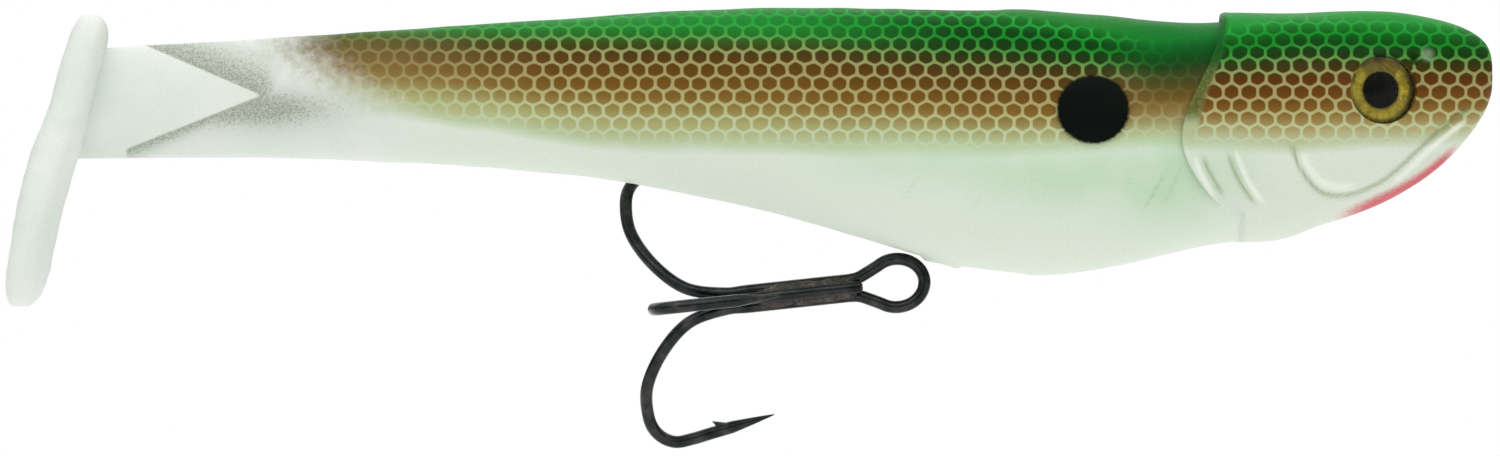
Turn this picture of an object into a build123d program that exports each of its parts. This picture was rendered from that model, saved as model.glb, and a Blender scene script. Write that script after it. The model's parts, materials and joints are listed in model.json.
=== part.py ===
from build123d import *
from math import cos, radians, sin
import os

# A soft swimbait, six inches long, with the fishing line led through it from nose to belly.
# Frame: millimetres, +X to the nose, +Z to the back, -Y to the right flank. The origin is the
# centre of the line hole in the nose. The treble hook is drawn up under the belly.

# ---- driving dimensions ----
SOFT_GAP = 0.2            # clearance between soft pieces that move against each other
NOSE_X = 0.0
GILL_TOP_X = -28.4        # rear edge of the head at the back, at mid height and at the throat
GILL_MID_X = -31.9
GILL_THROAT_X = -26.5
GILL_MID_Z = -6.5
NECK_X = -20.5            # front end of the neck plug inside the head

BODY_FLEX_X = -101.0      # where the tail stem starts to bend, and how far
BODY_FLEX_RADIUS = 6.1
BODY_FLEX_DEG = 25.0
TAIL_FLEX_X = -139.5      # where the boot tail bends on the stem, and how far
TAIL_FLEX_RADIUS = 2.0
TAIL_FLEX_DEG = 35.0
SEAT_SPARE_DEG = 3.0      # the round seats are cut this much wider than the joints turn
BOOT_ROOT_LENGTH = 12.0   # the last of the stem, which belongs to the boot

LINE_BORE_RADIUS = 0.65   # the line tube
TUBE_RADIUS = 1.0
SLEEVE_RADIUS = 1.35
SLEEVE_LENGTH = 4.0
EXIT_X = -56.4            # just ahead of the hook's eye
EXIT_Z = -18.85
EXIT_DEG = 80.0           # the tube leaves the belly this far below the horizontal
EXIT_STRAIGHT = 5.0
EXIT_SEAT_RISE = 2.0      # how far the sleeve's seat is cut on through the belly

EYE_X = -11.4
EYE_Z = -1.5
EYE_RADIUS = 3.45
PUPIL_RADIUS = 1.9
EYE_YAW_DEG = 12.0        # the flanks narrow to the nose, so the eyes look a little forward
RIM_BELOW_SKIN = 0.35     # the dome's edge lies this deep in its socket
DOME_RISE = 1.0
LENS_BASE = 0.9
FOIL_THICK = 0.3
FOIL_CLEARANCE = 0.1
PUPIL_THICK = 0.15        # the pupil is let into the foil

HOOK_X = -61.05           # centre of the hook's eye
HOOK_Z = -21.24
HOOK_TILT_DEG = 6.1       # slope of the shank, down towards the tail
WIRE_RADIUS = 0.62        # size 1 treble hook
SHANK_HALF_PITCH = 0.82   # half the distance between the two wires of the double
THIRD_WIRE_OUT = 0.98     # how far the third wire stands out beside them
RING_LONG = 2.85          # half sizes of the eye's centre line
RING_HIGH = 2.47
BEND_START = 17.8         # along the shank, from the centre of the eye
THIRD_SETBACK = 1.9       # the third wire is brazed on this much nearer the eye
TINE_LEAN_DEG = 30.0      # the three tines stand 120 degrees apart
TINE_CURVE = [            # (along the shank, out from it) from the bend to the tine's end
    (21.6, 1.1),
    (24.6, 4.2),
    (26.6, 8.2),
    (26.7, 12.4),
    (25.8, 14.3),
    (24.4, 15.1),
    (22.9, 15.0),
]
POINT_START = (18.3, 14.0)
POINT_TURN_DEG = 12.2     # the point runs back to the eye and in towards the shank
POINT_LENGTH = 4.6        # the ground cone at the end of each tine
POINT_TIP_RADIUS = 0.05
BARB = [
    (18.2, 13.8),
    (20.3, 13.3),
    (19.9, 14.2),
]
BARB_THICK = 0.6
FLARE_DEG = 52.0          # the double's wires leave the eye this far round from the shank
SHANK_START = 5.0         # and run straight from here on
THIRD_START = 3.7         # the third wire is cut off square behind the eye
BRAZE_START = 4.4
BRAZE_LENGTH = 11.0
BRAZE_COVER = 0.4

SLOT_X = -55.2            # rigging slot in the back
SLOT_LENGTH = 10.0
SLOT_WIDTH = 1.3
SLOT_FLOOR_Z = 1.5

KEEL_FRONT_X = -31.0      # lead under the line tube
KEEL_REAR_X = -47.5
KEEL_RADIUS = 2.5
KEEL_Z = -14.6
KEEL_ROUNDING = 2.0
HEAD_WEIGHT_FRONT_X = -9.8
HEAD_WEIGHT_LENGTH = 9.4
HEAD_WEIGHT_RADIUS = 3.0
HEAD_WEIGHT_ROUNDING = 0.8

WEB_THICK = 0.5           # woven strip along the middle of the bait
WEB_TOP_Z = 0.5
WEB_BOTTOM_Z = -5.5
WEB_FRONT_X = -64.0
WEB_REAR_X = -136.0
WEB_CORNER = 0.8

# ---- outline of the bait: (x, back z, belly z, half width) ----
BODY_STATIONS = [
    (-146.0, 3.1, -8.3, 1.7),
    (-135.0, 3.3, -8.4, 2.3),
    (-122.0, 4.1, -8.5, 3.7),
    (-108.0, 5.0, -9.1, 5.5),
    (-95.0, 5.9, -10.1, 7.0),
    (-81.0, 6.8, -12.4, 8.2),
    (-68.0, 7.0, -15.7, 8.9),
    (-57.0, 7.0, -19.0, 9.2),
    (-46.0, 6.7, -20.4, 9.3),
    (-37.0, 5.9, -19.2, 9.2),
    (-26.0, 5.8, -17.0, 8.8),
]
HEAD_STATIONS = [
    (-34.0, 6.3, -18.6, 9.7),
    (-26.0, 6.5, -17.4, 9.4),
    (-18.0, 6.5, -15.5, 8.8),
    (-11.0, 6.6, -12.9, 7.8),
    (-6.0, 5.9, -9.8, 6.4),
    (-2.5, 4.7, -6.3, 4.6),
    (-0.6, 3.2, -3.4, 2.8),
    (NOSE_X, 1.4, -1.4, 1.4),
]
NECK_STATIONS = [
    (-27.0, 4.0, -14.6, 7.2),
    (NECK_X, 3.4, -12.0, 6.2),
]
BOOT_STATIONS = [         # the paddle: (z, middle x, thickness, width)
    (6.3, -143.8, 1.2, 2.4),
    (5.0, -143.8, 3.4, 6.8),
    (1.0, -144.7, 4.2, 9.6),
    (-5.0, -146.4, 4.6, 12.4),
    (-12.0, -148.6, 4.8, 15.6),
    (-18.0, -149.8, 4.4, 15.8),
    (-22.0, -150.5, 3.7, 11.0),
    (-23.7, -151.0, 1.4, 4.6),
]
WIDEST = 0.56             # height of the widest line, as a share of the depth
BACK_FULLNESS = 0.56      # 0.55 gives an ellipse, more gives a squarer quarter
BELLY_FULLNESS = 0.665

PART_HEIGHT = 80.0        # taller than any piece here
PART_WIDTH = 40.0

os.makedirs("parts", exist_ok=True)


def bait_section(x, back, belly, half_width):
    """One cross-section of the bait: four smooth quarters that meet at the widest line."""
    widest = belly + WIDEST * (back - belly)
    with BuildSketch(Plane.YZ.offset(x)) as section:
        with BuildLine():
            for side, end, fullness in (
                (1, back, BACK_FULLNESS),
                (-1, back, BACK_FULLNESS),
                (-1, belly, BELLY_FULLNESS),
                (1, belly, BELLY_FULLNESS),
            ):
                Bezier(
                    (side * half_width, widest),
                    (side * half_width, widest + fullness * (end - widest)),
                    (side * fullness * half_width, end),
                    (0, end),
                )
        make_face()
    return section.sketch


def save(builder, name):
    """Label the finished piece and write it as its own node."""
    builder.part.label = name
    export_step(builder.part, f"parts/{name}.step")


# ---- line tube: straight from the nose, one arc, then straight out of the belly ----
exit_run = (-cos(radians(EXIT_DEG)), -sin(radians(EXIT_DEG)))
arc_end = (EXIT_X - EXIT_STRAIGHT * exit_run[0], EXIT_Z - EXIT_STRAIGHT * exit_run[1])
arc_radius = -arc_end[1] / (1 - cos(radians(EXIT_DEG)))
arc_start_x = arc_end[0] + arc_radius * sin(radians(EXIT_DEG))

with BuildLine(Plane.XZ) as line_route:
    nose_run = Line((NOSE_X, 0), (arc_start_x, 0))
    turn = TangentArc(nose_run @ 1, arc_end, tangent=nose_run % 1)
    Line(turn @ 1, (EXIT_X, EXIT_Z))

with BuildPart() as tube_envelope:
    with BuildSketch(Plane.YZ) as tube_outside:
        Circle(TUBE_RADIUS)
    sweep(path=line_route.wires()[0])

with BuildPart() as line_tube:
    with BuildSketch(Plane.YZ) as tube_wall:
        Circle(TUBE_RADIUS)
        Circle(LINE_BORE_RADIUS, mode=Mode.SUBTRACT)
    sweep(path=line_route.wires()[0])
save(line_tube, "line_tube")

with BuildPart() as nose_sleeve:
    with BuildSketch(Plane.YZ) as nose_sleeve_wall:
        Circle(SLEEVE_RADIUS)
        Circle(TUBE_RADIUS, mode=Mode.SUBTRACT)
    extrude(amount=-SLEEVE_LENGTH)
save(nose_sleeve, "nose_sleeve")

exit_plane = Plane(origin=(EXIT_X, 0, EXIT_Z), z_dir=(exit_run[0], 0, exit_run[1]))
with BuildPart() as belly_sleeve:
    with BuildSketch(exit_plane) as belly_sleeve_wall:
        Circle(SLEEVE_RADIUS)
        Circle(TUBE_RADIUS, mode=Mode.SUBTRACT)
    extrude(amount=-SLEEVE_LENGTH)
save(belly_sleeve, "belly_sleeve")

# ---- lead ----
with BuildPart() as head_weight:
    with BuildSketch(Plane.YZ.offset(HEAD_WEIGHT_FRONT_X)) as head_weight_wall:
        Circle(HEAD_WEIGHT_RADIUS)
        Circle(TUBE_RADIUS, mode=Mode.SUBTRACT)
    extrude(amount=-HEAD_WEIGHT_LENGTH)
    rims = head_weight.edges().filter_by(GeomType.CIRCLE).group_by(SortBy.RADIUS)[-1]
    fillet(rims, HEAD_WEIGHT_ROUNDING)
save(head_weight, "head_weight")

with BuildPart() as keel_weight:
    with BuildSketch(Plane.YZ.offset(KEEL_FRONT_X)) as keel_round:
        with Locations((0, KEEL_Z)):
            Circle(KEEL_RADIUS)
    extrude(amount=KEEL_REAR_X - KEEL_FRONT_X)
    fillet(keel_weight.edges().filter_by(GeomType.CIRCLE), KEEL_ROUNDING)
save(keel_weight, "keel_weight")

# ---- woven strip, in one length per moving body ----
def web_strip(front_x, rear_x):
    """The part of the strip between two places along the bait."""
    with BuildPart() as strip:
        with BuildSketch(Plane.XZ) as strip_side:
            with Locations(((front_x + rear_x) / 2, (WEB_TOP_Z + WEB_BOTTOM_Z) / 2)):
                RectangleRounded(front_x - rear_x, WEB_TOP_Z - WEB_BOTTOM_Z, WEB_CORNER)
        extrude(amount=WEB_THICK / 2, both=True)
    return strip


core_web_front = web_strip(WEB_FRONT_X, BODY_FLEX_X + BODY_FLEX_RADIUS + 2 * SOFT_GAP)
save(core_web_front, "core_web_front")
core_web_rear = web_strip(BODY_FLEX_X + BODY_FLEX_RADIUS - 2 * SOFT_GAP, WEB_REAR_X)
save(core_web_rear, "core_web_rear")

# ---- the bait's outer form, cut into its pieces further down ----
with BuildPart() as body_form:
    loft(sections=[bait_section(*station) for station in BODY_STATIONS])

with BuildPart() as head_form:
    loft(sections=[bait_section(*station) for station in HEAD_STATIONS])

with BuildPart() as neck:
    loft(sections=[bait_section(*station) for station in NECK_STATIONS])


def eye_plane(side):
    """Where an eye looks out of the head: side is -1 on the right flank, 1 on the left."""
    yaw = radians(EYE_YAW_DEG)
    looks = Vector(sin(yaw), side * cos(yaw), 0)
    flank = head_form.part.find_intersection_points(Axis((EYE_X, 0, EYE_Z), (0, side, 0)))
    on_skin = max((hit[0] for hit in flank), key=lambda point: side * point.Y)
    return Plane(origin=on_skin, z_dir=looks)


# ---- eyes: foil on the socket's floor, pupil disc let into it, clear dome over both ----
SOCKET_FLOOR = RIM_BELOW_SKIN + LENS_BASE + FOIL_THICK

sockets = []
for side, flank in ((-1, "right"), (1, "left")):
    looks_out = eye_plane(side)
    foil_back = looks_out.offset(-SOCKET_FLOOR)
    lens_back = foil_back.offset(FOIL_THICK)

    with BuildPart() as pupil:
        with BuildSketch(lens_back) as pupil_disc:
            Circle(PUPIL_RADIUS)
        extrude(amount=-PUPIL_THICK)
    save(pupil, f"{flank}_pupil")

    with BuildPart() as iris_foil:
        with BuildSketch(foil_back) as foil_disc:
            Circle(EYE_RADIUS - FOIL_CLEARANCE)
        extrude(amount=FOIL_THICK)
        add(pupil.part, mode=Mode.SUBTRACT)
    save(iris_foil, f"{flank}_iris_foil")

    dome_radius = (EYE_RADIUS**2 + DOME_RISE**2) / (2 * DOME_RISE)
    with BuildPart() as eye_lens:
        with BuildSketch(lens_back) as lens_round:
            Circle(EYE_RADIUS)
        extrude(amount=LENS_BASE + DOME_RISE)
        with Locations(lens_back.offset(LENS_BASE + DOME_RISE - dome_radius)):
            Sphere(dome_radius, mode=Mode.INTERSECT)
    save(eye_lens, f"{flank}_eye_lens")

    with BuildPart() as socket:
        with BuildSketch(foil_back) as socket_round:
            Circle(EYE_RADIUS)
        extrude(amount=SOCKET_FLOOR + DOME_RISE)
    sockets.append(socket)

# ---- head: cut to the gill line, hollow for the neck, the eyes, the tube and its weight ----
with BuildPart() as head:
    with BuildSketch(Plane.XZ) as head_side:
        with BuildLine():
            gill = Spline(
                (GILL_TOP_X, PART_HEIGHT / 8),
                (GILL_TOP_X, 3.0),
                (GILL_MID_X, GILL_MID_Z),
                (GILL_THROAT_X, -15.5),
                (GILL_THROAT_X + 4.5, -PART_HEIGHT / 3),
            )
            Polyline(gill @ 1, (10, -PART_HEIGHT / 3), (10, PART_HEIGHT / 8), gill @ 0)
        make_face()
    extrude(amount=PART_WIDTH, both=True)
    add(head_form.part, mode=Mode.INTERSECT)
    add(body_form.part, mode=Mode.SUBTRACT)
    add(neck.part, mode=Mode.SUBTRACT)
    for socket in sockets:
        add(socket.part, mode=Mode.SUBTRACT)
    add(tube_envelope.part, mode=Mode.SUBTRACT)
    with BuildSketch(Plane.YZ) as sleeve_seat:
        Circle(SLEEVE_RADIUS)
    extrude(amount=-SLEEVE_LENGTH, mode=Mode.SUBTRACT)
    with BuildSketch(Plane.YZ.offset(HEAD_WEIGHT_FRONT_X)) as weight_seat:
        Circle(HEAD_WEIGHT_RADIUS)
    extrude(amount=-HEAD_WEIGHT_LENGTH, mode=Mode.SUBTRACT)
save(head, "head")

# ---- front body: ends in a round seat that the tail stem turns in ----
arm_reach = BODY_FLEX_RADIUS * sin(radians(BODY_FLEX_DEG + SEAT_SPARE_DEG))
with BuildPart() as body_front:
    with Locations((BODY_FLEX_X + arm_reach, 0, 0)):
        Box(PART_HEIGHT, PART_WIDTH, PART_HEIGHT, align=(Align.MIN, Align.CENTER, Align.CENTER))
    add(body_form.part, mode=Mode.INTERSECT)
    add(neck.part)
    with Locations((BODY_FLEX_X, 0, 0)):
        Cylinder(BODY_FLEX_RADIUS + SOFT_GAP, PART_HEIGHT, mode=Mode.SUBTRACT)
    add(tube_envelope.part, mode=Mode.SUBTRACT)
    add(keel_weight.part, mode=Mode.SUBTRACT)
    add(core_web_front.part, mode=Mode.SUBTRACT)
    with BuildSketch(exit_plane.offset(EXIT_SEAT_RISE)) as exit_seat:
        Circle(SLEEVE_RADIUS)
    extrude(amount=-SLEEVE_LENGTH - EXIT_SEAT_RISE, mode=Mode.SUBTRACT)
    with BuildSketch(Plane.XY.offset(SLOT_FLOOR_Z)) as back_slot:
        with Locations((SLOT_X, 0)):
            SlotOverall(SLOT_LENGTH, SLOT_WIDTH)
    extrude(amount=PART_HEIGHT, mode=Mode.SUBTRACT)
    with Locations(Plane(origin=(HOOK_X, 0, HOOK_Z), z_dir=(0, 1, 0))):
        Cylinder(
            RING_LONG + WIRE_RADIUS + SOFT_GAP,
            2 * (WIRE_RADIUS + SOFT_GAP),
            mode=Mode.SUBTRACT,
        )
save(body_front, "body_front")

# ---- tail stem: a round knuckle in front, a round seat for the boot behind ----
boot_arm_reach = TAIL_FLEX_RADIUS * sin(radians(TAIL_FLEX_DEG + SEAT_SPARE_DEG))
stem_rear_x = TAIL_FLEX_X + boot_arm_reach
with BuildPart() as body_rear:
    with Locations(((BODY_FLEX_X + stem_rear_x) / 2, 0, 0)):
        Box(BODY_FLEX_X - stem_rear_x, PART_WIDTH, PART_HEIGHT)
    with Locations((BODY_FLEX_X, 0, 0)):
        Cylinder(BODY_FLEX_RADIUS, PART_HEIGHT)
    add(body_form.part, mode=Mode.INTERSECT)
    with Locations((TAIL_FLEX_X, 0, 0)):
        Cylinder(TAIL_FLEX_RADIUS + SOFT_GAP, PART_HEIGHT, mode=Mode.SUBTRACT)
    add(core_web_rear.part, mode=Mode.SUBTRACT)
save(body_rear, "body_rear")

# ---- boot tail: a tall thick paddle, leaning back, on the last of the stem ----
with BuildPart() as boot_plate:
    for z, x, thickness, width in BOOT_STATIONS:
        with BuildSketch(Plane.XY.offset(z)) as boot_slice:
            with Locations((x, 0)):
                SlotOverall(width, thickness, rotation=90)
    loft()

with BuildPart() as boot_tail:
    with Locations((TAIL_FLEX_X, 0, 0)):
        Box(
            BOOT_ROOT_LENGTH,
            PART_WIDTH,
            PART_HEIGHT,
            align=(Align.MAX, Align.CENTER, Align.CENTER),
        )
        Cylinder(TAIL_FLEX_RADIUS, PART_HEIGHT)
    add(body_form.part, mode=Mode.INTERSECT)
    add(boot_plate.part)
save(boot_tail, "boot_tail")

# ---- treble hook ----
tilt = radians(HOOK_TILT_DEG)
along = Vector(-cos(tilt), 0, -sin(tilt))
upward = Vector(-sin(tilt), 0, cos(tilt))
outward = Vector(0, 1, 0)
ring_centre = Vector(HOOK_X, 0, HOOK_Z)


def hook_wire(side_step, tine_way, start, setback, eye_edges=()):
    """A shank wire with its tine: side_step is where the wire lies beside the shank's middle,
    tine_way is the way that the tine stands out, setback moves the bend nearer the eye, and
    eye_edges lead from the eye to the start of the shank."""
    tine_plane = Plane(
        origin=ring_centre + side_step,
        x_dir=along,
        z_dir=along.cross(tine_way),
    )
    curve = [(run - setback, out) for run, out in TINE_CURVE]
    point_start = (POINT_START[0] - setback, POINT_START[1])
    point_run = -along * cos(radians(POINT_TURN_DEG)) - tine_way * sin(radians(POINT_TURN_DEG))
    with BuildLine(tine_plane) as route:
        Line((start, 0), (BEND_START - setback, 0))
        Spline((BEND_START - setback, 0), *curve, tangents=(along, point_run))
        Line(curve[-1], point_start)
    path = Wire([*route.edges(), *eye_edges])
    point_plane = Plane(
        origin=tine_plane.from_local_coords((point_start[0], point_start[1], 0)),
        z_dir=point_run,
    )
    with BuildPart() as wire:
        with BuildSketch(Plane(origin=path @ 0, z_dir=path % 0)) as wire_round:
            Circle(WIRE_RADIUS)
        sweep(path=path)
        with Locations(point_plane):
            Cone(
                WIRE_RADIUS,
                POINT_TIP_RADIUS,
                POINT_LENGTH,
                align=(Align.CENTER, Align.CENTER, Align.MIN),
            )
        with BuildSketch(tine_plane) as barb_side:
            with BuildLine():
                Polyline(*[(run - setback, out) for run, out in BARB], close=True)
            make_face()
        extrude(amount=BARB_THICK / 2, both=True)
    return wire


up_tine = outward * sin(radians(TINE_LEAN_DEG)) + upward * cos(radians(TINE_LEAN_DEG))
down_tine = outward * sin(radians(TINE_LEAN_DEG)) - upward * cos(radians(TINE_LEAN_DEG))
upper_step = upward * SHANK_HALF_PITCH
lower_step = upward * -SHANK_HALF_PITCH

# one wire makes two tines: it comes up the shank, runs round the eye and goes back down
ring_plane = Plane(origin=ring_centre, x_dir=along, z_dir=along.cross(upward))
half_turn = 180 - FLARE_DEG
with BuildLine(ring_plane) as upper_eye:
    arc = EllipticalCenterArc(
        (0, 0), RING_LONG, RING_HIGH, start_angle=FLARE_DEG, arc_size=half_turn
    )
    Spline((SHANK_START, SHANK_HALF_PITCH), arc @ 0, tangents=(-along, arc % 0))
with BuildLine(ring_plane) as lower_eye:
    arc = EllipticalCenterArc((0, 0), RING_LONG, RING_HIGH, start_angle=180, arc_size=half_turn)
    Spline(arc @ 1, (SHANK_START, -SHANK_HALF_PITCH), tangents=(arc % 1, along))
upper_wire = hook_wire(upper_step, up_tine, SHANK_START, 0, upper_eye.edges())
lower_wire = hook_wire(lower_step, down_tine, SHANK_START, 0, lower_eye.edges())
with BuildPart() as treble_double_wire:
    add(upper_wire.part)
    add(lower_wire.part)
save(treble_double_wire, "treble_double_wire")

third_step = outward * -THIRD_WIRE_OUT
treble_third_wire = hook_wire(third_step, outward * -1, THIRD_START, THIRD_SETBACK)
save(treble_third_wire, "treble_third_wire")

# the braze fills the grooves between the three wires
braze_plane = Plane(origin=ring_centre + along * BRAZE_START, x_dir=upward, z_dir=along)
third_wire_at = braze_plane.to_local_coords(braze_plane.origin - outward * THIRD_WIRE_OUT)
wire_centres = ((SHANK_HALF_PITCH, 0), (-SHANK_HALF_PITCH, 0), (0, third_wire_at.Y))
with BuildPart() as treble_braze:
    with BuildSketch(braze_plane) as braze_fill:
        with BuildLine():
            Polyline(*wire_centres, close=True)
        make_face()
        offset(amount=BRAZE_COVER)
        with Locations(*wire_centres):
            Circle(WIRE_RADIUS, mode=Mode.SUBTRACT)
    extrude(amount=BRAZE_LENGTH)
save(treble_braze, "treble_braze")
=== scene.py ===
"""Looks of the soft swimbait: painted soft skins, domed foil eyes and a black nickel treble hook.

Lengths are millimetres in the part's own frame (+X nose, +Z back, -Y right flank) until a mesh
is made, and Blender gets metres.
"""

import json
import math

import bpy
import numpy as np
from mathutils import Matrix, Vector
from mathutils.bvhtree import BVHTree


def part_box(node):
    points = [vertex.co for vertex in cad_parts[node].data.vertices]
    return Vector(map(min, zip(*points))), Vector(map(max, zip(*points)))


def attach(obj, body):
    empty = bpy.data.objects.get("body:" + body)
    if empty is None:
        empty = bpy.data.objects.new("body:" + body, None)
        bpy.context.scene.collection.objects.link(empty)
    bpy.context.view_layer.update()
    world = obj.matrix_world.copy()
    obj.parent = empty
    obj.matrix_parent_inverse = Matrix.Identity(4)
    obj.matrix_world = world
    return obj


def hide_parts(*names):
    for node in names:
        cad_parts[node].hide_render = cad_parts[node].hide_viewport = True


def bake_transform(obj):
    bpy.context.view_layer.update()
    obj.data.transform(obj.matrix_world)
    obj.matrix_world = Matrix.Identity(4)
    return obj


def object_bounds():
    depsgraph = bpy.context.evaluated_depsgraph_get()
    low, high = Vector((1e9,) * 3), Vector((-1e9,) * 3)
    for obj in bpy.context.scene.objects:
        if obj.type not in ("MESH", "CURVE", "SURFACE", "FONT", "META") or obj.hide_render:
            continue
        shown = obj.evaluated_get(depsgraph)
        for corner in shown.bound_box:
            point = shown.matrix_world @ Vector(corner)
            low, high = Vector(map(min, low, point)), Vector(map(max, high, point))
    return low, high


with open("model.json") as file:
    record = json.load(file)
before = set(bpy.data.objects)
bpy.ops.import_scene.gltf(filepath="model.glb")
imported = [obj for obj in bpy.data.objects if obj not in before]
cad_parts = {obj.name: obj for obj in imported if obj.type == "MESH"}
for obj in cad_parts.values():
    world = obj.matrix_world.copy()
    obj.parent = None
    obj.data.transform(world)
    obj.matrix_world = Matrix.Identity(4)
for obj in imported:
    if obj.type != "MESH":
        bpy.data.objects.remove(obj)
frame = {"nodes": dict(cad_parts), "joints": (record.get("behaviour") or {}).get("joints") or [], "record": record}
cad_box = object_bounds()
nodes = frame["nodes"]
MM = 0.001

# ---------------------------------------------------------------- shape of the CAD solids
WIDEST = 0.56  # height of the widest line, as a share of the depth
BACK_FULLNESS = 0.56
BELLY_FULLNESS = 0.665
QUARTER = 50  # points along each quarter of a cross-section
NECK_FRONT = -20.5
SHOULDER_X = -25.7  # the body's front face, inside the head
SEAM_X = -123.0  # where the body's skin hands over to the tail's
FLEX_GAP = (-101.6, -93.6)
TAIL_GAP = -136.5  # from here back the boot and its seat are in the way
STEM_END = -145.5  # the stem's skin ends inside the boot
OUTLINE_END = -147.0
FEEL_STEP = 0.5
CLEAR_OF_SLOT = (-66.0, -48.0, 0.9, 1.7)  # from, to, and how far aside the feelers go there


def surface_of(*names):
    """The outside of some CAD nodes, to measure."""
    points = []
    faces = []
    for name in names:
        mesh = nodes[name].data
        first = len(points)
        points += [vertex.co / MM for vertex in mesh.vertices]
        faces += [[first + i for i in face.vertices] for face in mesh.polygons]
    return BVHTree.FromPolygons(points, faces)


def touch(surface, start, way):
    """Where a feeler sent from start first meets the surface, or None."""
    return surface.ray_cast(Vector(start), Vector(way))[0]


def arch(s, first, second):
    """One coordinate of a cross-section's quarter, from its middle points."""
    return 3 * s * (1 - s) ** 2 * first + 3 * s**2 * (1 - s) * second


def quarter(s, fullness):
    """How far a cross-section's quarter has risen from its start, and is still off its end."""
    return arch(s, fullness, 1) + s**3, (1 - s) ** 3 + arch(s, 1, fullness)


def half_width_from(y, down):
    """The half width of a section whose belly quarter passes y out at this share of its depth."""
    drop, out = quarter(np.linspace(0, 1, 200), BELLY_FULLNESS)
    return abs(y) / np.interp(down, drop, out)


FEEL_DOWN = 0.5  # the flank is felt halfway down its lower quarter, clear of the eyes


def measure(surface, places, gap=(0, 0), aside=(0, 0, 0, 0)):
    """Rows of (x, back, belly, half width), felt on the surface, with none in the gap."""
    rows = []
    for x in places:
        if gap[0] < x < gap[1]:
            continue
        back_y, belly_y = aside[2:] if aside[0] < x < aside[1] else (0.2, 0.2)
        top = touch(surface, (x, back_y, 60), (0, 0, -1))
        bottom = touch(surface, (x, belly_y, -60), (0, 0, 1))
        if top is None or bottom is None:
            continue
        widest = bottom.z + WIDEST * (top.z - bottom.z)
        height = widest + FEEL_DOWN * (bottom.z - widest)
        side = touch(surface, (x, -60, height), (0, 1, 0))
        if side is not None:
            rows.append((x, top.z, bottom.z, half_width_from(side.y, FEEL_DOWN)))
    return np.array(sorted(rows))


def evened(table, reach):
    """The rows smoothed along x, with both ends kept."""
    x = np.arange(table[0, 0], table[-1, 0], 0.25)
    dense = [np.interp(x, table[:, 0], table[:, i]) for i in (1, 2, 3)]
    weight = np.exp(-((np.arange(-16, 17) * 0.25 / reach) ** 2))
    weight /= weight.sum()
    soft = []
    for line in dense:
        start = 2 * line[0] - line[16:0:-1]
        stop = 2 * line[-1] - line[-2:-18:-1]
        soft.append(np.convolve(np.concatenate((start, line, stop)), weight, "valid"))
    return np.column_stack([x, *soft])


def extended(table, x):
    """One more row at x, in line with the last few millimetres."""
    slope = (table[0] - table[8]) / (table[0, 0] - table[8, 0])
    row = table[0] + slope * (x - table[0, 0])
    return np.vstack([row, table])


body_surface = surface_of("body_front", "body_rear", "boot_tail")
head_surface = surface_of("head")
body_line = measure(
    body_surface,
    np.arange(TAIL_GAP, -26.0, FEEL_STEP),
    gap=FLEX_GAP,
    aside=CLEAR_OF_SLOT,
)
body_line = evened(extended(body_line, OUTLINE_END), 1.0)
head_line = measure(head_surface, np.arange(-24.8, -3.0, FEEL_STEP))
head_line = extended(head_line, -34.0)
nose_rows = measure(head_surface, -3.0 + 2.98 * np.linspace(0, 1, 24) ** 0.6)
head_line = np.vstack([head_line, nose_rows])
head_line = head_line[np.argsort(head_line[:, 0])]
neck_line = measure(body_surface, np.arange(-25.4, NECK_FRONT, 0.4))


def at(line, x):
    """(back, belly, half width) of an outline at the places x."""
    return [np.interp(x, line[:, 0], line[:, i]) for i in (1, 2, 3)]


def ring(line, x):
    """Points of the cross-sections at x, one row each: from the back, down the right flank, along
    the belly and up the left flank. Each point may have its own x."""
    x = np.asarray(x, float)
    if x.ndim == 1:
        x = np.repeat(x[:, None], 4 * QUARTER, axis=1)
    back, belly, half = at(line, x)
    widest = belly + WIDEST * (back - belly)
    s = np.arange(QUARTER) / QUARTER
    out, fall = quarter(s, BACK_FULLNESS)
    drop, inward = quarter(s, BELLY_FULLNESS)
    out_up, fall_up = quarter(1 - s, BACK_FULLNESS)
    drop_up, inward_up = quarter(1 - s, BELLY_FULLNESS)
    none = np.zeros(QUARTER)
    side = np.concatenate([-out, -inward, inward_up, out_up])
    above = np.concatenate([fall, none, none, fall_up])
    below = np.concatenate([none, drop, drop_up, none])
    y = side * half
    z = widest + above * (back - widest) + below * (belly - widest)
    return np.stack([x, y, z], axis=-1)


def facing(grid):
    """Which way the surface of a grid of rings looks, at each point."""
    around = np.roll(grid, -1, axis=1) - np.roll(grid, 1, axis=1)
    along = np.gradient(grid, axis=0)
    way = np.cross(along, around)
    way /= np.maximum(np.linalg.norm(way, axis=2, keepdims=True), 1e-9)
    middle = grid.mean(axis=1, keepdims=True)
    outward = np.sum(way * (grid - middle), axis=2)
    return way if np.median(outward) > 0 else -way


def raised(grid, relief, out=None):
    """The grid with each of its points moved outwards by its relief."""
    out = facing(grid) if out is None else out
    return grid + out * relief.reshape(*grid.shape[:2], 1)


def step(value, start, stop):
    """0 before start, 1 after stop, and smooth between them."""
    t = np.clip((value - start) / (stop - start), 0, 1)
    return t * t * (3 - 2 * t)


def bulge(distance, width):
    """1 in the middle, falling off smoothly over this width."""
    return np.exp(-((distance / width) ** 2))


def away_from(points, place):
    """How far each point of the side view lies from a place."""
    return np.linalg.norm(points - place, axis=1)


def from_stroke(points, stroke):
    """How far points in the side view lie from a drawn stroke, and how far along it."""
    lengths = np.linalg.norm(np.diff(stroke, axis=0), axis=1)
    total = lengths.sum()
    nearest = np.full(len(points), np.inf)
    share = np.zeros(len(points))
    passed = 0.0
    for first, second, length in zip(stroke[:-1], stroke[1:], lengths):
        run = (second - first) / length
        t = np.clip((points - first) @ run, 0, length)
        distance = np.linalg.norm(points - first - t[:, None] * run, axis=1)
        closer = distance < nearest
        nearest[closer] = distance[closer]
        share[closer] = (passed + t[closer]) / total
        passed += length
    return nearest, share


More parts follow.
